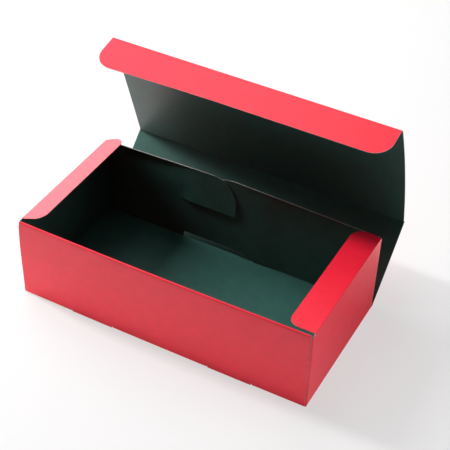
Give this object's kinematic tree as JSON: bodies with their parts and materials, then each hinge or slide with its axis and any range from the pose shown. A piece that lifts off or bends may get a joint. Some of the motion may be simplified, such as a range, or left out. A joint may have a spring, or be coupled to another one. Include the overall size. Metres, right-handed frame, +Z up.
{
  "type": "cookie box",
  "caption": "Long, low cookie box folded from red card with a dark green inside: open tray, hinged lid with a tuck flap, and dust flaps at the ends",
  "frame": {"origin": "middle of the floor's underside, where the box stands on the table", "axes": "+X along the box to its right end, +Y to its back, +Z up"},
  "size_m": [0.24, 0.1711, 0.1592],
  "materials": {
    "red_card": "satin"
  },
  "bodies": {
    "tray": {"tray": "red_card"},
    "back_panel": {"back_panel": "red_card"},
    "lid": {"lid": "red_card"},
    "tuck_flap": {"tuck_flap": "red_card"},
    "left_dust_flap": {"left_dust_flap": "red_card"},
    "right_dust_flap": {"right_dust_flap": "red_card"}
  },
  "joints": [
    {"name": "back_fold", "type": "hinge", "parent": "tray", "child": "back_panel", "pos_m": [0, 0.0595, 0.0005], "axis": [1, 0, 0], "range_deg": [-43.1, 46.7]},
    {"name": "lid_fold", "type": "hinge", "parent": "back_panel", "child": "lid", "pos_m": [0, 0.11055, 0.04861], "axis": [1, 0, 0], "range_deg": [-66.5, 23.5]},
    {"name": "tuck_fold", "type": "hinge", "parent": "lid", "child": "tuck_flap", "pos_m": [0, 0.07092, 0.15869], "axis": [1, 0, 0], "range_deg": [-82.5, 15.5]},
    {"name": "left_dust_fold", "type": "hinge", "parent": "tray", "child": "left_dust_flap", "pos_m": [-0.1195, 0, 0.07], "axis": [0, 1, 0], "range_deg": [-98.5, 21.5]},
    {"name": "right_dust_fold", "type": "hinge", "parent": "tray", "child": "right_dust_flap", "pos_m": [0.1195, 0, 0.07], "axis": [0, -1, 0], "range_deg": [-117, 0]}
  ],
  "couplings": [
    {"joint": "left_dust_fold", "follows": "back_fold", "ratio": 0.46038}
  ]
}
